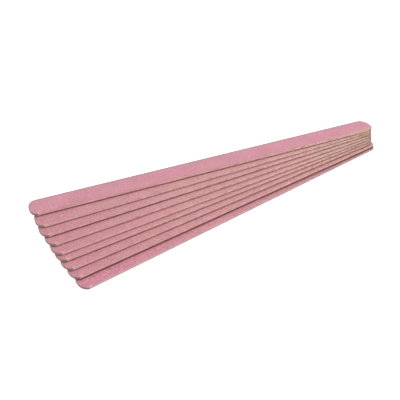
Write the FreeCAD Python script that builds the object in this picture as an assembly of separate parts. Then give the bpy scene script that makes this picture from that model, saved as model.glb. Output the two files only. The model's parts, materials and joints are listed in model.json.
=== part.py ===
"""Nine loose emery boards laid on each other in a narrow fan.

Each board is a thin wood core with a strip of abrasive paper glued to each side. The boards are
pinched together near one end, where they swivel about one upright axis, and spread at the other.

Lengths are in millimetres and angles in degrees. The origin is the centre of the bottom board's
underside. +X runs along that board towards the pinched end, and +Z is up.
"""

import FreeCAD, Part
import math
import os

# One board
board_length = 178.0
board_width = 10.15
end_bulge = 3.3  # how far a rounded end stands past its two shoulders
core_thickness = 1.05
paper_thickness = 0.2

# The stack: a little air lies between boards that are never quite flat, more under some than
# under others, here for each board from the bottom up
air_gap = 0.3
air_gap_shares = [0, 1.8, 1.3, 1.2, 0.8, 0.8, 0.9, 0.6, 1.0]

# The pinch axis, from the pinched end of the bottom board
pinch_from_end = 8.9

# The fan, one entry for each board from the bottom up: how far a board is opened from the one
# below it, and where the pinch axis crosses it, from its own end and from its centre line
opening_degrees = [0, 1.6, 1.1, 1.3, 0.95, 1.5, 1.45, 1.7, 2.35]
pinch_from_end_shares = [1.0, 0.9, 0.8, 0.725, 0.65, 0.58, 0.47, 0.435, 0.34]
pinch_offset_width_shares = [0.075, 0.045, -0.045, -0.055, -0.035, -0.025, -0.035, 0.005, 0.07]

board_thickness = core_thickness + 2 * paper_thickness
up = FreeCAD.Vector(0, 0, 1)


def rounded_end(shoulder, tip):
    """Half an ellipse, from one shoulder of a board round its tip to the other shoulder."""
    ellipse = Part.Ellipse(shoulder, tip, FreeCAD.Vector(shoulder.x, 0, 0))
    return Part.ArcOfEllipse(ellipse, 0, math.pi)


def board_outline():
    """The outline that a board and its papers are cut to: straight sides and two rounded ends."""
    side = board_width / 2
    tip = board_length / 2
    shoulder = tip - end_bulge
    near_left = FreeCAD.Vector(-shoulder, -side, 0)
    near_right = FreeCAD.Vector(shoulder, -side, 0)
    far_right = FreeCAD.Vector(shoulder, side, 0)
    far_left = FreeCAD.Vector(-shoulder, side, 0)
    near_side = Part.LineSegment(near_left, near_right)
    right_end = rounded_end(near_right, FreeCAD.Vector(tip, 0, 0))
    far_side = Part.LineSegment(far_right, far_left)
    left_end = rounded_end(far_left, FreeCAD.Vector(-tip, 0, 0))
    edges = [near_side, right_end, far_side, left_end]
    return Part.Wire([edge.toShape() for edge in edges])


def strip(underside, thickness):
    """One flat layer of a board, as thick as its material, at its height above the table."""
    layer = Part.Face(board_outline()).extrude(up * thickness)
    layer.translate(up * underside)
    return layer


def pinch_point(index):
    """Where the pinch axis crosses a board, seen in the board's own frame."""
    along = board_length / 2 - pinch_from_end * pinch_from_end_shares[index]
    across = board_width * pinch_offset_width_shares[index]
    return FreeCAD.Vector(along, across, 0)


def fan_placement(index):
    """Swings a board about the pinch axis, away from the bottom board, to its place in the fan."""
    turn = -sum(opening_degrees[: index + 1])
    own_pinch = pinch_point(index)
    return FreeCAD.Placement(pinch_point(0) - own_pinch, FreeCAD.Rotation(up, turn), own_pinch)


def underside_height(index):
    """How high a board lies above the table, on the boards and the air below it."""
    return index * board_thickness + air_gap * sum(air_gap_shares[: index + 1])


def make_board(index):
    """The three layers of one board, by node name."""
    underside = underside_height(index)
    core_underside = underside + paper_thickness
    core_top = core_underside + core_thickness
    layers = {
        "lower_abrasive": strip(underside, paper_thickness),
        "wood_core": strip(core_underside, core_thickness),
        "upper_abrasive": strip(core_top, paper_thickness),
    }
    placement = fan_placement(index)
    return {f"board_{index + 1}_{name}": layer.transformed(placement.Matrix) for name, layer in layers.items()}


os.makedirs("parts", exist_ok=True)
for index in range(len(opening_degrees)):
    for node, shape in make_board(index).items():
        shape.exportStep(f"parts/{node}.step")
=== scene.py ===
"""The looks of nine emery boards in a fan: wood cores, abrasive papers and a plain stage.

Everything is in metres, in the frame of the solid model. Each board's place is read from that
frame: its centre from the core's box, and its turn from how far its joint can close.
"""

import json
import math

import bpy
from mathutils import Matrix, Vector

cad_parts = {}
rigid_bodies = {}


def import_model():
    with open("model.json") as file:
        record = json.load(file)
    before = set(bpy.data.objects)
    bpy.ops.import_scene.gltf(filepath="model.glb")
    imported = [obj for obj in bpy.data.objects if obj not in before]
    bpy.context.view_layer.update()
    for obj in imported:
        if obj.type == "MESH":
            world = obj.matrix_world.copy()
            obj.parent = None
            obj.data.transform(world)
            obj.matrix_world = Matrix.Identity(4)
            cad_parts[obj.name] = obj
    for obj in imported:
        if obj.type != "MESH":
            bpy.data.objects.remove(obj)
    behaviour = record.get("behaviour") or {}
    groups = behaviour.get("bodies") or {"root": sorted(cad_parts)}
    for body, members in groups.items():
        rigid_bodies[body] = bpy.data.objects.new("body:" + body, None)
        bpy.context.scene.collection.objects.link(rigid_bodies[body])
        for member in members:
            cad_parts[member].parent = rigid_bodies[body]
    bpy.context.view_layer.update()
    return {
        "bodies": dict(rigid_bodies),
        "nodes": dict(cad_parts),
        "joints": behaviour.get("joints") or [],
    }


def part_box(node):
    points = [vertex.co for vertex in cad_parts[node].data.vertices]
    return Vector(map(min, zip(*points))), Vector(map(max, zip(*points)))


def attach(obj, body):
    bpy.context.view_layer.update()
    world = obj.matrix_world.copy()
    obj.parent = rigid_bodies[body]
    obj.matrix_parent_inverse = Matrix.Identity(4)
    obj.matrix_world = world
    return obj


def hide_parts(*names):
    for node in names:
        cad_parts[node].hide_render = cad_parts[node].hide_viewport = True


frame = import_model()

bl_info = {
    "name": "Emery board fan",
    "version": (1, 0, 0),
    "blender": (4, 5, 0),
    "location": "View3D > Sidebar > Emery boards",
    "description": "Dresses a fan of emery boards with abrasive paper, wood cores and a stage",
    "category": "Object",
}

MM = 0.001
PER_SQUARE_CENTIMETRE = 1e4

# Closer than this, points of a solid lie on one line, and points of a mesh are one point
SAME_LINE = MM / 10000
SAME_POINT = MM / 1000

# What rounding may take from or add to a number that stands for 1
ROUNDING = 0.0001

# How far apart the patterns of two layers are taken, and where the seeds of the cores start
PATTERN_SPACING = 50 * MM
FIRST_CORE_SEED = 100

# From the middle of the floor to its sides, in metres
FLOOR_REACH = 2.0

# The kinds of node that the trees below use most
MATH = "ShaderNodeMath"
VECTOR = "ShaderNodeVectorMath"
COMBINE = "ShaderNodeCombineXYZ"
SEPARATE = "ShaderNodeSeparateXYZ"
RANGE = "ShaderNodeMapRange"
NOISE = "ShaderNodeTexNoise"
MIX = "ShaderNodeMix"
MARK = "ShaderNodeAttribute"
READ_MARK = "GeometryNodeInputNamedAttribute"

# How dark painted shade and dirt make the edge of each board's underside, at its free end and at its
# held end, from the bottom board up. The painted shade stands for the gap under the board, the rest
# is resin and dirt. At 1 its darkest stretches have the darkest edge colour, and at 2.5 all of it has
UNDERSIDE_SHADE_AND_DIRT = [
    (0.3, 0.3), (2.0, 2.5), (0.0, 0.8), (0.5, 0.1), (0.0, 0.5),
    (0.4, 0.1), (1.3, 0.1), (0.6, 0.0), (0.8, 0.1),
]

# What one cut layer of a board is made from. An input that isn't given stays 0
LAYER_INPUTS = {
    "Length": "Float", "Width": "Float", "End Bulge": "Float", "Thickness": "Float",
    "Points Along": "Int", "Points Across": "Int", "Height Rows": "Int",
    "Grit Height": "Float", "Grit Depth": "Float", "Rim Width": "Float", "Rim Wear": "Float",
    "Tear Depth": "Float", "Tear Length": "Float", "Tear Width": "Float",
    "Glued Above": "Float", "Coarse Grains": "Float", "Grain Size": "Float",
    "Free End Shade And Dirt": "Float", "Held End Shade And Dirt": "Float",
    "Stack Place": "Float", "Seed": "Int", "Material": "Material",
}


# Sizes read from the frame

core_low, core_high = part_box("board_1_wood_core")
paper_low, paper_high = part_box("board_1_upper_abrasive")
board_length, board_width, core_thickness = core_high - core_low
paper_thickness = paper_high.z - paper_low.z


def end_bulge():
    """How far the rounded end stands past its shoulders, read from the bottom board's core."""
    corners = [v.co for v in frame["nodes"]["board_1_wood_core"].data.vertices]
    side = max(corner.y for corner in corners)
    shoulder = max(corner.x for corner in corners if side - corner.y < SAME_LINE)
    return core_high.x - shoulder


def board_places():
    """Each board's body name and its place in the fan, from the bottom up."""
    opened = {joint["child"]: joint["range_deg"][1] for joint in frame["joints"]}
    turn = 0
    places = {}
    for number in range(1, len(frame["bodies"]) + 1):
        body = f"board_{number}"
        turn -= math.radians(opened.get(body, 0))
        low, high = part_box(f"{body}_wood_core")
        places[body] = Matrix.Translation((low + high) / 2) @ Matrix.Rotation(turn, 4, "Z")
    return places


# Small tools


def linear(hex_colour):
    """A colour written as sRGB hex, as the linear RGBA that the shaders use."""
    channels = [int(hex_colour[i : i + 2], 16) / 255 for i in (0, 2, 4)]
    return [c / 12.92 if c <= 0.04045 else ((c + 0.055) / 1.055) ** 2.4 for c in channels] + [1]


def add(tree, kind, inputs=None, **settings):
    """Adds a node with its settings and links. A node as an input stands for its first open output."""
    node = tree.nodes.new(kind)
    for name, value in settings.items():
        setattr(node, name, value)
    for key, value in (inputs or {}).items():
        sockets = [s for s in node.inputs if s.enabled and s.name == key] or [node.inputs[key]]
        if isinstance(value, bpy.types.Node):
            value = [s for s in value.outputs if s.enabled][0]
        if isinstance(value, bpy.types.NodeSocket):
            tree.links.new(value, sockets[0])
        else:
            sockets[0].default_value = value
    return node


# Geometry


def layer_tree():
    """The tree of one cut layer: a board's outline, its torn rim and, on paper, its grit."""
    tree = bpy.data.node_groups.new("board_layer", "GeometryNodeTree")
    for name, kind in LAYER_INPUTS.items():
        tree.interface.new_socket(name, in_out="INPUT", socket_type="NodeSocket" + kind)
    tree.interface.new_socket("Layer", in_out="OUTPUT", socket_type="NodeSocketGeometry")
    given = add(tree, "NodeGroupInput").outputs

    # A block whose sides run from -1 to 1, with a grid of points on every face
    block = add(tree, "GeometryNodeMeshCube", {
        "Size": (2, 2, 2), "Vertices X": given["Points Along"],
        "Vertices Y": given["Points Across"], "Vertices Z": given["Height Rows"],
    })
    point = add(tree, "GeometryNodeInputPosition")
    share = add(tree, SEPARATE, {0: point}).outputs

    # Which faces a point is on: -1 or 1 along each axis, and 0 in between
    size = add(tree, VECTOR, {0: point}, operation="ABSOLUTE")
    grown = add(tree, VECTOR, {0: size, "Scale": 1 + ROUNDING}, operation="SCALE")
    reached = add(tree, VECTOR, {0: grown}, operation="FLOOR")
    way = add(tree, VECTOR, {0: point}, operation="SIGN")
    face = add(tree, VECTOR, {0: reached, 1: way}, operation="MULTIPLY")
    face_height = add(tree, SEPARATE, {0: face}).outputs["Z"]
    above = add(tree, MATH, {0: face_height, 1: 0}, operation="MAXIMUM")

    # The outline: straight sides, and ends that are half ellipses. Points stand closer to the sides
    half_width = add(tree, MATH, {0: given["Width"], 1: 2}, operation="DIVIDE")
    half_length = add(tree, MATH, {0: given["Length"], 1: 2}, operation="DIVIDE")
    half_thickness = add(tree, MATH, {0: given["Thickness"], 1: 2}, operation="DIVIDE")
    shoulder = add(tree, MATH, {0: half_length, 1: given["End Bulge"]}, operation="SUBTRACT")
    angle = add(tree, MATH, {0: share["Y"], 1: math.pi / 2}, operation="MULTIPLY")
    sine = add(tree, MATH, {0: angle}, operation="SINE")
    cosine = add(tree, MATH, {0: angle}, operation="COSINE")
    reach = add(tree, MATH, {0: cosine, 1: given["End Bulge"], 2: shoulder}, operation="MULTIPLY_ADD")
    along = add(tree, MATH, {0: share["X"], 1: reach}, operation="MULTIPLY")
    across = add(tree, MATH, {0: sine, 1: half_width}, operation="MULTIPLY")
    height = add(tree, MATH, {
        0: share["Z"], 1: half_thickness, 2: half_thickness,
    }, operation="MULTIPLY_ADD")
    outline = add(tree, COMBINE, {"X": along, "Y": across, "Z": height})

    # How far a point is from the end, from the rim and from the nearest shoulder
    from_middle = add(tree, MATH, {0: along}, operation="ABSOLUTE")
    from_centre = add(tree, MATH, {0: across}, operation="ABSOLUTE")
    end_distance = add(tree, MATH, {0: reach, 1: from_middle}, operation="SUBTRACT")
    side_distance = add(tree, MATH, {0: half_width, 1: from_centre}, operation="SUBTRACT")
    rim_distance = add(tree, MATH, {0: end_distance, 1: side_distance}, operation="MINIMUM")
    folded = add(tree, COMBINE, {"X": from_middle, "Y": from_centre})
    corner = add(tree, COMBINE, {"X": shoulder, "Y": half_width})
    corner_distance = add(tree, VECTOR, {0: folded, 1: corner}, operation="DISTANCE")

    # The die tears fibres out of the sides and ends
    tear = add(tree, COMBINE, {
        "X": given["Tear Length"], "Y": given["Tear Width"], "Z": given["Tear Width"],
    })
    tear_place = add(tree, VECTOR, {0: outline, 1: tear}, operation="DIVIDE")
    torn = add(tree, NOISE, {
        "Vector": tear_place, "W": given["Seed"], "Scale": 1, "Detail": 2,
    }, noise_dimensions="4D")
    torn_in = add(tree, MATH, {0: torn, 1: given["Tear Depth"]}, operation="MULTIPLY")

    # Each point of the upper face sinks by a random share of the grit, and the rim is worn down
    chance = add(tree, "FunctionNodeRandomValue", {"Seed": given["Seed"]}, data_type="FLOAT")
    bond = add(tree, MATH, {
        0: chance, 1: given["Grit Height"], 2: given["Grit Depth"],
    }, operation="MULTIPLY_ADD")
    worn = add(tree, RANGE, {
        "Value": rim_distance, "From Max": given["Rim Width"],
        "To Min": given["Rim Wear"], "To Max": 0,
    }, interpolation_type="SMOOTHSTEP")
    sunk = add(tree, MATH, {0: bond, 1: worn}, operation="ADD")
    sunk_above = add(tree, MATH, {0: sunk, 1: above}, operation="MULTIPLY")
    inward = add(tree, COMBINE, {"X": torn_in, "Y": torn_in, "Z": sunk_above})
    lost = add(tree, VECTOR, {0: face, 1: inward}, operation="MULTIPLY")
    rough = add(tree, VECTOR, {0: outline, 1: lost}, operation="SUBTRACT")

    # A glued face never shows, so its inner points are gathered on the centre line
    glued_above = add(tree, MATH, {0: face_height, 1: given["Glued Above"]}, operation="MULTIPLY")
    below = add(tree, MATH, {0: face_height, 1: -1}, operation="MULTIPLY")
    glued = add(tree, MATH, {0: glued_above, 1: below}, operation="MAXIMUM")
    edge = add(tree, SEPARATE, {0: reached}).outputs
    on_edge = add(tree, MATH, {0: edge["X"], 1: edge["Y"]}, operation="MAXIMUM")
    inner_glued = add(tree, MATH, {0: glued, 1: on_edge}, operation="SUBTRACT")
    gathered = add(tree, MATH, {0: inner_glued, 1: 0.5}, operation="GREATER_THAN")
    centre = add(tree, MATH, {0: share["X"], 1: shoulder}, operation="MULTIPLY")
    centre_line = add(tree, COMBINE, {"X": centre, "Z": height})
    place = add(tree, "GeometryNodeSwitch", {
        "Switch": gathered, "False": rough, "True": centre_line,
    }, input_type="VECTOR")

    # What the materials read. Each layer's own height keeps its patterns unlike its neighbours'
    bare = add(tree, MATH, {0: 1, 1: given["Glued Above"]}, operation="SUBTRACT")
    grit_cover = add(tree, MATH, {0: above, 1: bare}, operation="MULTIPLY")
    own_height = add(tree, MATH, {
        0: given["Seed"], 1: PATTERN_SPACING, 2: height,
    }, operation="MULTIPLY_ADD")
    board_place = add(tree, COMBINE, {"X": along, "Y": across, "Z": own_height})
    # Painted shade of the gap under the board, with some dirt, from the free end to the held end
    edge_shade_and_dirt = add(tree, RANGE, {
        "Value": share["X"], "From Min": -1,
        "To Min": given["Free End Shade And Dirt"], "To Max": given["Held End Shade And Dirt"],
    })
    marks = {
        "board_place": ("FLOAT_VECTOR", board_place), "grit_cover": ("FLOAT", grit_cover),
        "rim_distance": ("FLOAT", rim_distance), "end_distance": ("FLOAT", end_distance),
        "corner_distance": ("FLOAT", corner_distance), "edge_height": ("FLOAT", height),
        "edge_shade_and_dirt": ("FLOAT", edge_shade_and_dirt), "stack_place": ("FLOAT", given["Stack Place"]),
        "gathered": ("BOOLEAN", gathered),
    }
    marked = block.outputs["Mesh"]
    for name, (kind, value) in marks.items():
        marked = add(tree, "GeometryNodeStoreNamedAttribute", {
            "Geometry": marked, "Name": name, "Value": value,
        }, data_type=kind, domain="POINT")
    shaped = add(tree, "GeometryNodeSetPosition", {"Geometry": marked, "Position": place})
    read_gathered = add(tree, READ_MARK, {"Name": "gathered"}, data_type="BOOLEAN")
    sheet = add(tree, "GeometryNodeMergeByDistance", {
        "Geometry": shaped, "Selection": read_gathered, "Distance": SAME_POINT,
    })
    both = add(tree, "GeometryNodeJoinGeometry")
    tree.links.new(coarse_grains(tree, given, sheet).outputs[0], both.inputs[0])
    tree.links.new(sheet.outputs[0], both.inputs[0])
    flat = add(tree, "GeometryNodeSetShadeSmooth", {"Geometry": both, "Shade Smooth": False})
    real = add(tree, "GeometryNodeRealizeInstances", {"Geometry": flat})
    finished = add(tree, "GeometryNodeSetMaterial", {"Geometry": real, "Material": given["Material"]})
    add(tree, "NodeGroupOutput", {"Layer": finished})
    return tree


def coarse_grains(tree, given, sheet):
    """Coarser grains that stand out of the bond away from the rim, as small five-sided points."""
    cover = add(tree, READ_MARK, {"Name": "grit_cover"}, data_type="FLOAT")
    rim = add(tree, READ_MARK, {"Name": "rim_distance"}, data_type="FLOAT")
    off_rim = add(tree, MATH, {0: rim, 1: given["Rim Width"]}, operation="GREATER_THAN")
    grit_share = add(tree, MATH, {0: cover, 1: off_rim}, operation="MULTIPLY")
    gritty = add(tree, MATH, {0: grit_share, 1: 1 - ROUNDING}, operation="GREATER_THAN")
    scattered = add(tree, "GeometryNodeDistributePointsOnFaces", {
        "Mesh": sheet, "Selection": gritty, "Density": given["Coarse Grains"], "Seed": given["Seed"],
    })
    foot = add(tree, MATH, {0: given["Grain Size"], 1: 0.5}, operation="MULTIPLY")
    tip = add(tree, MATH, {0: given["Grain Size"], 1: 0.15}, operation="MULTIPLY")
    grain = add(tree, "GeometryNodeMeshCone", {
        "Vertices": 5, "Radius Top": tip, "Radius Bottom": foot, "Depth": given["Grit Depth"],
    })
    spin = add(tree, "FunctionNodeRandomValue", {
        "Max": (0, 0, math.tau), "Seed": given["Seed"],
    }, data_type="FLOAT_VECTOR")
    growth = add(tree, "FunctionNodeRandomValue", {
        "Min": (0.6, 0.6, 0.7), "Max": (1.2, 1.2, 1.0), "Seed": given["Seed"],
    }, data_type="FLOAT_VECTOR")
    return add(tree, "GeometryNodeInstanceOnPoints", {
        "Points": scattered, "Instance": grain, "Rotation": spin, "Scale": growth,
    })


def make_layer(name, place, body, node, values):
    """Grows one layer with the tree, puts its place into its mesh, and lets it ride on its board."""
    tree = bpy.data.node_groups.get("board_layer") or layer_tree()
    seedling = bpy.data.objects.new(name + "_tree", bpy.data.meshes.new(name + "_tree"))
    bpy.context.scene.collection.objects.link(seedling)
    modifier = seedling.modifiers.new("Layer", "NODES")
    modifier.node_group = tree
    identifiers = {s.name: s.identifier for s in tree.interface.items_tree if s.in_out == "INPUT"}
    for key, value in values.items():
        modifier[identifiers[key]] = value
    evaluated = seedling.evaluated_get(bpy.context.evaluated_depsgraph_get())
    mesh = bpy.data.meshes.new_from_object(evaluated)
    bpy.data.objects.remove(seedling)
    mesh.name = name
    mesh.transform(place)
    mesh.attributes.remove(mesh.attributes["gathered"])
    piece = bpy.data.objects.new(name, mesh)
    bpy.context.scene.collection.objects.link(piece)
    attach(piece, body)
    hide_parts(node)
    return piece


# Materials


def bare_material(name):
    """A material whose tree has no nodes yet."""
    material = bpy.data.materials.new(name)
    material.use_nodes = True
    material.node_tree.nodes.clear()
    return material


def chips(tree, along, looks):
    """How far the shoulders of the free end are knocked: 1 at a shoulder and 0 outside its chip."""
    corner = add(tree, MARK, attribute_name="corner_distance").outputs["Fac"]
    knocked = add(tree, RANGE, {"Value": corner, "From Max": looks.chip, "To Min": 1, "To Max": 0})
    free_end = add(tree, MATH, {0: along, 1: 0}, operation="LESS_THAN")
    return add(tree, MATH, {0: knocked, 1: free_end}, operation="MULTIPLY")


def emery_paper_material(looks):
    """Pink abrasive paper: mineral grit rolled into coloured resin, which looks dull and speckled."""
    material = bare_material("pink_emery_paper")
    tree = material.node_tree
    place = add(tree, MARK, attribute_name="board_place").outputs["Vector"]
    cover = add(tree, MARK, attribute_name="grit_cover").outputs["Fac"]
    rim = add(tree, MARK, attribute_name="rim_distance").outputs["Fac"]
    dirt = add(tree, MARK, attribute_name="edge_shade_and_dirt").outputs["Fac"]
    stack_place = add(tree, MARK, attribute_name="stack_place").outputs["Fac"]
    where = add(tree, SEPARATE, {0: place}).outputs

    # Grains, drawn about three times as coarse as real ones so that they show
    grains = add(tree, NOISE, {"Vector": place, "Scale": 1 / looks.grain, "Detail": 2})
    grain_share = add(tree, RANGE, {"Value": grains, "From Min": 0.35, "From Max": 0.65})
    speckled = add(tree, MIX, {
        "Factor": grain_share, "A": looks.grit_dark, "B": looks.grit_light,
    }, data_type="RGBA")
    # Clusters of grains, and slow clouds where the resin was rolled on thicker
    clusters = add(tree, NOISE, {"Vector": place, "Scale": 1 / looks.cluster, "Detail": 2})
    cluster_share = add(tree, RANGE, {
        "Value": clusters, "From Min": 0.4, "From Max": 0.66, "To Max": looks.cluster_share,
    })
    clustered = add(tree, MIX, {
        "Factor": cluster_share, "A": speckled, "B": looks.mauve,
    }, data_type="RGBA")
    clouds = add(tree, NOISE, {"Vector": place, "Scale": 1 / looks.cloud, "Detail": 2})
    cloud_shade = add(tree, RANGE, {
        "Value": clouds, "From Min": 0.3, "From Max": 0.7, "To Min": 0.95, "To Max": 1.05,
    })
    clouded = add(tree, MIX, {
        "Factor": 1.0, "A": clustered, "B": cloud_shade,
    }, data_type="RGBA", blend_type="MULTIPLY")

    # The die crushed the grit at the rim, more on the side where it came out
    crushed_rim = add(tree, RANGE, {
        "Value": rim, "From Min": looks.crushed_width / 4, "From Max": looks.crushed_width,
        "To Min": looks.crushed_share, "To Max": 0,
    })
    far_side = add(tree, RANGE, {
        "Value": where["Y"], "From Min": -board_width / 4, "From Max": board_width / 4, "To Min": 0.1,
    })
    crushed_share = add(tree, MATH, {0: crushed_rim, 1: far_side}, operation="MULTIPLY")
    crushed = add(tree, MIX, {
        "Factor": crushed_share, "A": clouded, "B": looks.crushed,
    }, data_type="RGBA")
    # Boards under others are dulled and rubbed by them, and their pink is paler towards the held end
    covered = add(tree, RANGE, {"Value": stack_place, "From Min": 0.9, "To Min": 1, "To Max": 0})
    lowest = add(tree, RANGE, {"Value": stack_place, "From Max": 0.1, "To Min": 1, "To Max": 0})
    between = add(tree, MATH, {0: covered, 1: lowest}, operation="SUBTRACT")
    dulled = add(tree, MIX, {
        "Factor": between, "A": crushed, "B": looks.dulled,
    }, data_type="RGBA", blend_type="MULTIPLY")
    rubbing = add(tree, RANGE, {
        "Value": where["X"], "From Min": -0.45 * board_length, "From Max": looks.held_from,
        "To Max": looks.rubbed_share,
    })
    patches = add(tree, NOISE, {"Vector": place, "Scale": 1 / looks.patch, "Detail": 2})
    patch_share = add(tree, RANGE, {"Value": patches, "From Min": 0.42, "From Max": 0.58, "To Min": 0.1})
    rubbed_patches = add(tree, MATH, {0: rubbing, 1: patch_share}, operation="MULTIPLY")
    rubbed_share = add(tree, MATH, {0: covered, 1: rubbed_patches}, operation="MULTIPLY")
    rubbed = add(tree, MIX, {
        "Factor": rubbed_share, "A": dulled, "B": looks.backing,
    }, data_type="RGBA")
    # Towards the end where the board is held, the grit of one side is worn off to the backing
    nearness = add(tree, RANGE, {
        "Value": where["X"], "From Min": looks.held_from, "From Max": board_length / 2, "To Min": 0.3,
    })
    fading = add(tree, RANGE, {
        "Value": covered, "To Min": looks.top_fading, "To Max": looks.fading,
    })
    held = add(tree, MATH, {0: nearness, 1: fading}, operation="POWER")
    worn_edge = add(tree, MATH, {
        0: held, 1: looks.worn_width, 2: -board_width / 2,
    }, operation="MULTIPLY_ADD")
    band = add(tree, RANGE, {
        "Value": where["Y"], "From Min": -board_width / 2, "From Max": worn_edge,
        "To Min": looks.worn_share * 2, "To Max": 0,
    })
    patchy_band = add(tree, MATH, {0: band, 1: patch_share}, operation="MULTIPLY")
    worn_share = add(tree, MATH, {0: patchy_band, 1: nearness}, operation="MULTIPLY", use_clamp=True)
    worn = add(tree, MIX, {
        "Factor": worn_share, "A": rubbed, "B": looks.backing,
    }, data_type="RGBA")
    # Crumbs of grit and filings lie on the boards under others, more of them lower down
    crumbs = add(tree, NOISE, {"Vector": place, "Scale": 1 / looks.crumb, "Detail": 1})
    crumb_shade = add(tree, RANGE, {
        "Value": crumbs, "From Min": 0.35, "From Max": 0.65,
        "To Min": 1 - looks.crumb_share, "To Max": 1 + looks.crumb_share,
    })
    crumb_cover = add(tree, MATH, {0: stack_place, 1: -0.7, 2: covered}, operation="MULTIPLY_ADD")
    covered_shade = add(tree, RANGE, {"Value": crumb_cover, "To Min": 1, "To Max": crumb_shade})
    crumbed = add(tree, MIX, {
        "Factor": 1.0, "A": worn, "B": covered_shade,
    }, data_type="RGBA", blend_type="MULTIPLY")
    # The lowest board is a deeper pink, with painted shade towards the held end
    held_shade_share = add(tree, RANGE, {"Value": where["X"], "From Max": 0.4 * board_length})
    lowest_tint_and_shade = add(tree, MIX, {
        "Factor": held_shade_share, "A": looks.lowest, "B": looks.held_end_shade,
    }, data_type="RGBA")
    tinted_and_shaded = add(tree, MIX, {
        "Factor": lowest, "A": crumbed, "B": lowest_tint_and_shade,
    }, data_type="RGBA", blend_type="MULTIPLY")
    # The shoulders of the free end are knocked pale
    chip_share = chips(tree, where["X"], looks)
    chipped = add(tree, MIX, {"Factor": chip_share, "A": tinted_and_shaded, "B": looks.chipped}, data_type="RGBA")

    # The cut edge shows paper soaked with pink resin; under the board its edge has painted shade of the
    # gap, with some dirt, in stretches
    stretches = add(tree, NOISE, {"Vector": place, "Scale": 1 / looks.shade_and_dirt_length, "Detail": 1})
    shade_and_dirt_stretch = add(tree, RANGE, {"Value": stretches, "From Min": 0.4, "From Max": 0.6, "To Min": 0.4})
    shade_and_dirt_share = add(tree, MATH, {0: dirt, 1: shade_and_dirt_stretch}, operation="MULTIPLY", use_clamp=True)
    edge = add(tree, MIX, {
        "Factor": shade_and_dirt_share, "A": looks.cut_edge, "B": looks.soiled_and_shaded,
    }, data_type="RGBA")
    # The underside's rim is painted dark too: painted shade that darkens the gap below the board
    underside_rim_shade = add(tree, RANGE, {
        "Value": rim, "From Max": looks.crushed_width, "To Min": shade_and_dirt_share, "To Max": 0,
    })
    face = add(tree, MIX, {
        "Factor": underside_rim_shade, "A": chipped, "B": looks.soiled_and_shaded,
    }, data_type="RGBA")
    colour = add(tree, MIX, {"Factor": cover, "A": edge, "B": face}, data_type="RGBA")
    bump = add(tree, "ShaderNodeBump", {"Height": grains, "Distance": looks.grain * 0.3, "Strength": 0.5})
    shader = add(tree, "ShaderNodeBsdfPrincipled", {
        "Base Color": colour, "Roughness": 0.85, "Normal": bump, "IOR": 1.5,
    })
    add(tree, "ShaderNodeOutputMaterial", {"Surface": shader})
    return material


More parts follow.
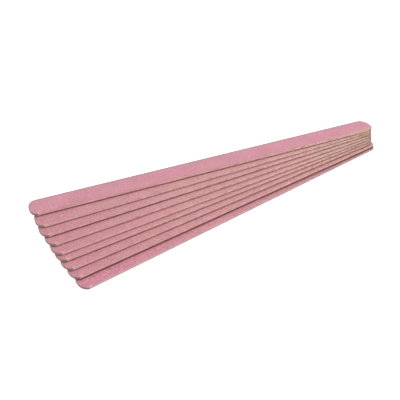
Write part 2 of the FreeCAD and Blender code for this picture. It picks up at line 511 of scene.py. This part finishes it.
def wood_core_material(looks):
    """Basswood veneer, die cut: fine pale fibres on the sides, and darker wood across the ends."""
    material = bare_material("die_cut_basswood")
    tree = material.node_tree
    place = add(tree, MARK, attribute_name="board_place").outputs["Vector"]
    end = add(tree, MARK, attribute_name="end_distance").outputs["Fac"]
    height = add(tree, MARK, attribute_name="edge_height").outputs["Fac"]
    dirt = add(tree, MARK, attribute_name="edge_shade_and_dirt").outputs["Fac"]
    stack_place = add(tree, MARK, attribute_name="stack_place").outputs["Fac"]
    along = add(tree, SEPARATE, {0: place}).outputs["X"]

    # Fibres run along the board, so their noise is stretched that way
    stretched = add(tree, "ShaderNodeMapping", {
        "Vector": place, "Scale": (1 / looks.fibre_length, 1 / looks.fibre_width, 1 / looks.fibre_width),
    })
    fibre = add(tree, NOISE, {"Vector": stretched, "Scale": 1, "Detail": 4})
    fibre_share = add(tree, RANGE, {"Value": fibre, "From Min": 0.3, "From Max": 0.7})
    fibres = add(tree, MIX, {
        "Factor": fibre_share, "A": looks.wood_dark, "B": looks.wood_light,
    }, data_type="RGBA")
    # Wood that fingers have darkened towards the end where the board is held
    held = add(tree, RANGE, {
        "Value": along, "From Min": looks.held_from, "From Max": board_length / 2,
    })
    handled = add(tree, MIX, {
        "Factor": held, "A": fibres, "B": looks.handled,
    }, data_type="RGBA", blend_type="MULTIPLY")
    # Pink filing dust in the fibres, rubbed off where the board is held
    dust = add(tree, NOISE, {"Vector": place, "Scale": 1 / looks.dust_patch, "Detail": 3})
    dust_caught = add(tree, RANGE, {
        "Value": dust, "From Min": 0.25, "From Max": 0.55, "To Max": looks.dust_share,
    })
    dust_kept = add(tree, MATH, {0: 1, 1: held}, operation="SUBTRACT")
    dust_left = add(tree, MATH, {0: dust_caught, 1: dust_kept}, operation="MULTIPLY")
    dusty = add(tree, MIX, {"Factor": dust_left, "A": handled, "B": looks.dust}, data_type="RGBA")
    # Dust that has settled on the lowest board
    settled_share = add(tree, RANGE, {
        "Value": stack_place, "From Max": 0.1, "To Min": looks.settled_share, "To Max": 0,
    })
    settled = add(tree, MIX, {"Factor": settled_share, "A": dusty, "B": looks.settled}, data_type="RGBA")
    # Flecks where torn fibres have caught dirt, more of them towards the held end
    torn = add(tree, "ShaderNodeMapping", {
        "Vector": place, "Scale": (1 / looks.fleck_length, 1 / looks.fleck_width, 1 / looks.fleck_width),
    })
    flecks = add(tree, NOISE, {"Vector": torn, "Scale": 1, "Detail": 2})
    fleck_depth = add(tree, RANGE, {
        "Value": along, "From Min": -board_length / 2, "From Max": board_length / 2,
        "To Min": looks.fleck_share / 3, "To Max": looks.fleck_share,
    })
    fleck_share = add(tree, RANGE, {
        "Value": flecks, "From Min": 0.5, "From Max": 0.65, "To Max": fleck_depth,
    })
    flecked = add(tree, MIX, {"Factor": fleck_share, "A": settled, "B": looks.fleck}, data_type="RGBA")
    # Resin soaked into the lower edge, with painted shade where the cut side meets the gap below
    soak_and_shade_fade = add(tree, RANGE, {
        "Value": height, "From Max": looks.soak_and_shade_height, "To Min": looks.soak_and_shade_strength, "To Max": 0,
    })
    soak_and_shade_share = add(tree, MATH, {0: soak_and_shade_fade, 1: dirt}, operation="MULTIPLY", use_clamp=True)
    soaked = add(tree, MIX, {"Factor": soak_and_shade_share, "A": flecked, "B": looks.soaked}, data_type="RGBA")
    # End grain, and shoulders of the free end that are knocked pale
    end_share = add(tree, RANGE, {"Value": end, "From Max": looks.end_width, "To Min": 1, "To Max": 0})
    ended = add(tree, MIX, {"Factor": end_share, "A": soaked, "B": looks.end_grain}, data_type="RGBA")
    chip_share = chips(tree, along, looks)
    chipped = add(tree, MIX, {"Factor": chip_share, "A": ended, "B": looks.knocked}, data_type="RGBA")
    bump = add(tree, "ShaderNodeBump", {
        "Height": fibre, "Distance": looks.fibre_width * 0.5, "Strength": 0.6,
    })
    shader = add(tree, "ShaderNodeBsdfPrincipled", {
        "Base Color": chipped, "Roughness": 0.75, "Normal": bump, "IOR": 1.5,
    })
    add(tree, "ShaderNodeOutputMaterial", {"Surface": shader})
    return material


# What a user can change


def colour_property(name, hex_colour, description):
    return bpy.props.FloatVectorProperty(
        name=name, description=description, subtype="COLOR", size=4, min=0, max=1,
        default=linear(hex_colour))


def length_property(name, millimetres, description):
    return bpy.props.FloatProperty(
        name=name, description=description, subtype="DISTANCE", unit="LENGTH", precision=5,
        default=millimetres * MM)


def share_property(name, share, description):
    return bpy.props.FloatProperty(
        name=name, description=description, subtype="FACTOR", min=0, max=1, default=share)


class EmeryPaperLooks(bpy.types.PropertyGroup):
    grit_light: colour_property("Light grit", "EFA9B7", "Pink of the raised grains")
    grit_dark: colour_property("Dark grit", "C5808D", "Pink between the grains")
    mauve: colour_property("Clusters", "C998A5", "Duller pink of clusters of grains")
    backing: colour_property("Backing", "DBB1A9", "Paper that shows where the grit is gone")
    cut_edge: colour_property("Cut edge", "F0B6AA", "Resin-soaked paper that shows at the cut edge")
    crushed: colour_property("Crushed rim", "BA959F", "Grit that the cutting die crushed at the rim")
    chipped: colour_property("Chipped shoulder", "F0C4BC", "Paper that shows at the knocked shoulders")
    dulled: colour_property("Dulled pink", "FAFCF7", "Tint of the grit of boards that lie under others")
    lowest: colour_property("Lowest board", "FFF6FA", "Tint of the lowest board's grit at its free end")
    # Painted shade over the held end of the lowest board
    held_end_shade: colour_property("Shading", "DCD6E4", "Tint of the lowest board's grit at its held end")
    # Painted shade of the gap under a board, with resin and dirt
    soiled_and_shaded: colour_property("Shaded soiled edge", "7A3428", "Cut edge of an underside, dark with resin and dirt")
    grain: length_property("Grain", 0.38, "Size of a grain of the abrasive")
    cluster: length_property("Cluster", 1.2, "Size of a cluster of grains")
    crumb: length_property("Crumb", 0.5, "Size of a crumb of grit on boards under others")
    cloud: length_property("Cloud", 9, "Size of the thicker and thinner patches of resin")
    patch: length_property("Worn patch", 1.2, "Size of a patch where the grit is worn off")
    worn_width: length_property("Worn width", 4.5, "How far in from one side the grit is worn off")
    held_from: length_property("Held from", -30, "Where the held end starts, from the middle of a board")
    crushed_width: length_property("Crushed width", 1.6, "How far in from the rim the grit is crushed")
    chip: length_property("Chip", 1.0, "Size of the chip at a shoulder")
    # Stretches of painted shade and dirt along the underside's edge
    shade_and_dirt_length: length_property("Shade and dirt length", 20, "Length of a dark stretch of the underside's edge")
    spacing: length_property("Point spacing", 0.4, "Distance between the points of the grit surface")
    grit_height: length_property("Grit height", 0.04, "Height of the grit relief")
    grit_depth: length_property("Grit depth", 0.03, "How far the bond lies below the highest grains")
    rim_width: length_property("Rim width", 0.4, "Width of the rim that is worn down")
    rim_wear: length_property("Rim wear", 0.08, "How far the rim is worn down")
    tear_depth: length_property("Tear depth", 0.06, "Depth of the nicks in the cut edge")
    tear_length: length_property("Tear length", 0.8, "Length of a nick in the cut edge")
    coarse_grain: length_property("Coarse grain", 0.32, "Width of the coarser grains that stand out")
    coarse_grains: bpy.props.IntProperty(
        name="Coarse grains", description="How many coarser grains stand on a square centimetre",
        default=30)
    cluster_share: share_property("Cluster strength", 0.5, "How far a cluster turns to its duller pink")
    crumb_share: share_property("Crumbs", 0.15, "How much lighter or darker the crumbs are")
    crushed_share: share_property("Crushing", 1.0, "How far the rim turns to its crushed colour")
    fading: bpy.props.FloatProperty(
        name="Fading of the wear", description="How fast the wear fades along a board from its held end",
        default=2)
    top_fading: bpy.props.FloatProperty(
        name="Fading on top", description="How fast the wear fades along the top board", default=12)
    rubbed_share: share_property("Rubbing", 0.5, "How far boards under others turn to the backing")
    worn_share: share_property("Wear", 0.9, "How far the worn side turns to the colour of the backing")


class WoodCoreLooks(bpy.types.PropertyGroup):
    wood_light: colour_property("Light fibre", "FFE9D6", "Colour of the pale fibres on the cut sides")
    wood_dark: colour_property("Dark fibre", "EECBB8", "Colour of the dark fibres on the cut sides")
    handled: colour_property("Handled end", "E1D7CA", "Tint of the wood at the end that is held")
    end_grain: colour_property("End grain", "A08280", "Colour of the wood cut across its fibres")
    knocked: colour_property("Knocked shoulder", "EEC8BE", "Colour of the wood at the knocked shoulders")
    dust: colour_property("Dust", "F6BFBD", "Colour of the filing dust on the edges")
    settled: colour_property("Settled dust", "DAB8BE", "Colour of dust that settles on the lowest board")
    fleck: colour_property("Fleck", "9C705A", "Colour of the dirt that torn fibres have caught")
    # Painted shade at the foot of the cut side, with resin
    soaked: colour_property("Soaked and shaded edge", "864838", "Colour of the lower edge where resin soaked in")
    fibre_length: length_property("Fibre length", 6, "Length of a streak of fibres")
    fibre_width: length_property("Fibre width", 0.25, "Width of a streak of fibres")
    dust_patch: length_property("Dust patch", 5, "Size of a patch of dust")
    held_from: length_property("Held from", 28, "Where the held end starts, from the middle of a board")
    fleck_length: length_property("Fleck length", 1.6, "Length of a fleck of dirt")
    fleck_width: length_property("Fleck width", 0.6, "Width of a fleck of dirt")
    # How far up the lower edge the painted shade and resin reach
    soak_and_shade_height: length_property("Soak and shade height", 0.35, "How far the resin soaked up")
    end_width: length_property("End width", 0.4, "How far round the shoulder the end grain shows")
    chip: length_property("Chip", 0.8, "Size of the chip at a shoulder")
    spacing: length_property("Point spacing", 0.4, "Distance between the points of the cut side")
    tear_depth: length_property("Tear depth", 0.1, "Depth of the torn fibres in the cut side")
    tear_length: length_property("Tear length", 2.5, "Length of a tear along the fibres")
    tear_width: length_property("Tear width", 0.3, "Width of a tear across the fibres")
    height_rows: bpy.props.IntProperty(
        name="Height rows", description="Rows of points over the height of the cut side",
        default=6, min=2)
    dust_share: share_property("Dust", 0.9, "How much of the cut sides the dust covers")
    settled_share: share_property("Settling", 0.8, "How much settled dust covers the lowest board")
    fleck_share: share_property("Flecks", 0.7, "How dark the flecks are at the held end")
    # How dark the painted shade and resin make the lower edge
    soak_and_shade_strength: share_property("Soaking and shade", 0.85, "How dark the resin makes the lower edge")


class StageLooks(bpy.types.PropertyGroup):
    floor: colour_property("Floor", "F4F4F4", "Colour of the floor that the boards lie on")
    floor_glow: bpy.props.FloatProperty(
        name="Floor glow", description="White that the floor adds for the background rays", default=0.72)
    sky: bpy.props.FloatProperty(
        name="Sky", description="Strength of the even light from all round", default=0.6)
    key_power: bpy.props.FloatProperty(
        name="Key lamp", description="Power of the large lamp in watts", default=2.5)
    key_size: bpy.props.FloatProperty(
        name="Key size", description="Side of the large square lamp", unit="LENGTH", default=0.4)
    key_place: bpy.props.FloatVectorProperty(
        name="Key place", description="Where the large lamp stands", subtype="TRANSLATION",
        default=(0.15, -0.18, 0.78))
    azimuth: bpy.props.FloatProperty(
        name="Azimuth", description="Side that the camera stands on", subtype="ANGLE",
        default=math.radians(-36.8))
    elevation: bpy.props.FloatProperty(
        name="Elevation", description="Height of the camera above the horizon", subtype="ANGLE",
        default=math.radians(36.65))
    distance: bpy.props.FloatProperty(
        name="Distance", description="From the camera to the point it looks at", unit="LENGTH",
        default=0.22026)
    aim: bpy.props.FloatVectorProperty(
        name="Aim", description="Point that the camera looks at", subtype="TRANSLATION",
        default=(-0.0189, 0.0154, 0))
    lens: bpy.props.FloatProperty(
        name="Lens", description="Focal length on a sensor 36 mm wide", unit="CAMERA", default=41.62)


# Operators


def outline_values(looks):
    """The sizes that every layer has from the frame, with points as close as its looks ask for."""
    return {
        "Length": board_length, "Width": board_width, "End Bulge": end_bulge(),
        "Points Along": math.ceil(board_length / looks.spacing) + 1,
        "Points Across": math.ceil(board_width / looks.spacing) + 1,
        "Tear Depth": looks.tear_depth, "Tear Length": looks.tear_length,
    }


class EMERY_OT_papers(bpy.types.Operator):
    """Makes the upper and lower abrasive paper of every board"""

    bl_idname = "emery.papers"
    bl_label = "Abrasive papers"

    def execute(self, context):
        looks = context.scene.emery_paper
        values = outline_values(looks) | {
            "Thickness": paper_thickness, "Height Rows": 2, "Tear Width": looks.tear_length,
            "Grit Height": looks.grit_height, "Grit Depth": looks.grit_depth,
            "Rim Width": looks.rim_width, "Rim Wear": looks.rim_wear,
            "Coarse Grains": looks.coarse_grains * PER_SQUARE_CENTIMETRE,
            "Grain Size": looks.coarse_grain, "Material": emery_paper_material(looks),
        }
        face_up = Matrix.Translation((0, 0, core_thickness / 2))
        face_down = Matrix.Rotation(math.pi, 4, "X") @ face_up
        places = board_places()
        for number, (body, place) in enumerate(places.items()):
            for side, turn in (("upper", face_up), ("lower", face_down)):
                values["Seed"] = 2 * number + (side == "lower")
                # The underside's edge takes painted shade of the gap below it, with some dirt
                dirt = UNDERSIDE_SHADE_AND_DIRT[number] if side == "lower" else (0.0, 0.0)
                values["Free End Shade And Dirt"], values["Held End Shade And Dirt"] = dirt
                values["Stack Place"] = number / (len(places) - 1)
                node, slot = f"{body}_{side}_abrasive", f"{side}_abrasive"
                make_layer(f"{body}_{side}_paper", place @ turn, body, node, values)
        return {"FINISHED"}


class EMERY_OT_cores(bpy.types.Operator):
    """Makes the wood core of every board"""

    bl_idname = "emery.cores"
    bl_label = "Wood cores"

    def execute(self, context):
        looks = context.scene.emery_wood
        values = outline_values(looks) | {
            "Thickness": core_thickness, "Height Rows": looks.height_rows,
            "Tear Width": looks.tear_width, "Glued Above": 1.0,
            "Material": wood_core_material(looks),
        }
        middle = Matrix.Translation((0, 0, -core_thickness / 2))
        places = board_places()
        for number, (body, place) in enumerate(places.items()):
            values["Seed"] = FIRST_CORE_SEED + number
            # The core's lower edge takes the same painted shade and dirt
            values["Free End Shade And Dirt"], values["Held End Shade And Dirt"] = UNDERSIDE_SHADE_AND_DIRT[number]
            values["Stack Place"] = number / (len(places) - 1)
            make_layer(f"{body}_core", place @ middle, body, f"{body}_wood_core", values)
        return {"FINISHED"}


class EMERY_OT_stage(bpy.types.Operator):
    """Makes the floor, the lamps, the sky and the camera"""

    bl_idname = "emery.stage"
    bl_label = "Stage"

    def execute(self, context):
        looks = context.scene.emery_stage
        scene = context.scene
        scene.view_settings.view_transform = "Standard"
        make_floor(looks)
        make_sky(looks)
        make_key_lamp(looks)
        make_camera(looks)
        return {"FINISHED"}


def background_rays(tree):
    """Says which rays see the background: those of the camera, of reflections and through glass."""
    ray = add(tree, "ShaderNodeLightPath").outputs
    seen = add(tree, MATH, {0: ray["Is Camera Ray"], 1: ray["Is Glossy Ray"]}, operation="MAXIMUM")
    return add(tree, MATH, {0: seen, 1: ray["Is Transmission Ray"]}, operation="MAXIMUM")


def make_floor(looks):
    """A sweep of white paper, which glows for the background rays and keeps the boards' shadow."""
    material = bare_material("white_paper_sweep")
    tree = material.node_tree
    paper = add(tree, "ShaderNodeBsdfDiffuse", {"Color": looks.floor})
    strength = add(tree, MATH, {0: background_rays(tree), 1: looks.floor_glow}, operation="MULTIPLY")
    glow = add(tree, "ShaderNodeEmission", {"Strength": strength})
    both = add(tree, "ShaderNodeAddShader", {0: paper, 1: glow})
    add(tree, "ShaderNodeOutputMaterial", {"Surface": both})
    signs = ((-1, -1), (1, -1), (1, 1), (-1, 1))
    corners = [(x * FLOOR_REACH, y * FLOOR_REACH, 0) for x, y in signs]
    mesh = bpy.data.meshes.new("floor")
    mesh.from_pydata(corners, [], [(0, 1, 2, 3)])
    mesh.materials.append(material)
    floor = bpy.data.objects.new("floor", mesh)
    bpy.context.scene.collection.objects.link(floor)


def make_sky(looks):
    """Even light from all round, which the background rays see as white."""
    world = bpy.data.worlds.new("sky")
    bpy.context.scene.world = world
    world.use_nodes = True
    tree = world.node_tree
    tree.nodes.clear()
    strength = add(tree, RANGE, {"Value": background_rays(tree), "To Min": looks.sky, "To Max": 1})
    background = add(tree, "ShaderNodeBackground", {"Color": (1, 1, 1, 1), "Strength": strength})
    add(tree, "ShaderNodeOutputWorld", {"Surface": background})


def make_key_lamp(looks):
    """A large soft lamp above the boards, on the camera's side and towards the held end."""
    lamp = bpy.data.lights.new("key", "AREA")
    lamp.energy = looks.key_power
    lamp.size = looks.key_size
    key = bpy.data.objects.new("key", lamp)
    key.location = looks.key_place
    key.rotation_euler = key.location.to_track_quat("Z", "Y").to_euler()
    bpy.context.scene.collection.objects.link(key)


def make_camera(looks):
    """The camera, at the photograph's angle."""
    a, e = looks.azimuth, looks.elevation
    back = Vector((math.sin(a) * math.cos(e), -math.cos(a) * math.cos(e), math.sin(e)))
    camera_data = bpy.data.cameras.new("camera")
    camera_data.lens = looks.lens
    camera_data.sensor_width = 36
    camera_data.clip_start = 0.01
    camera = bpy.data.objects.new("camera", camera_data)
    camera.location = Vector(looks.aim) + back * looks.distance
    camera.rotation_euler = (-back).to_track_quat("-Z", "Y").to_euler()
    bpy.context.scene.collection.objects.link(camera)
    bpy.context.scene.camera = camera


class EMERY_PT_panel(bpy.types.Panel):
    """Lists the parts of the fan"""

    bl_label = "Emery boards"
    bl_idname = "EMERY_PT_panel"
    bl_space_type = "VIEW_3D"
    bl_region_type = "UI"
    bl_category = "Emery boards"

    def draw(self, context):
        sections = {
            "emery.papers": "emery_paper", "emery.cores": "emery_wood", "emery.stage": "emery_stage",
        }
        for operator, group in sections.items():
            box = self.layout.box()
            box.operator(operator)
            settings = getattr(context.scene, group)
            for name in settings.__annotations__:
                box.prop(settings, name)


classes = [
    EmeryPaperLooks, WoodCoreLooks, StageLooks,
    EMERY_OT_papers, EMERY_OT_cores, EMERY_OT_stage, EMERY_PT_panel,
]


def register():
    for each in classes:
        bpy.utils.register_class(each)
    bpy.types.Scene.emery_paper = bpy.props.PointerProperty(type=EmeryPaperLooks)
    bpy.types.Scene.emery_wood = bpy.props.PointerProperty(type=WoodCoreLooks)
    bpy.types.Scene.emery_stage = bpy.props.PointerProperty(type=StageLooks)


def unregister():
    del bpy.types.Scene.emery_paper, bpy.types.Scene.emery_wood, bpy.types.Scene.emery_stage
    for each in reversed(classes):
        bpy.utils.unregister_class(each)


def main():
    register()
    bpy.ops.emery.stage()
    bpy.ops.emery.papers()
    bpy.ops.emery.cores()


if __name__ == "__main__":
    main()
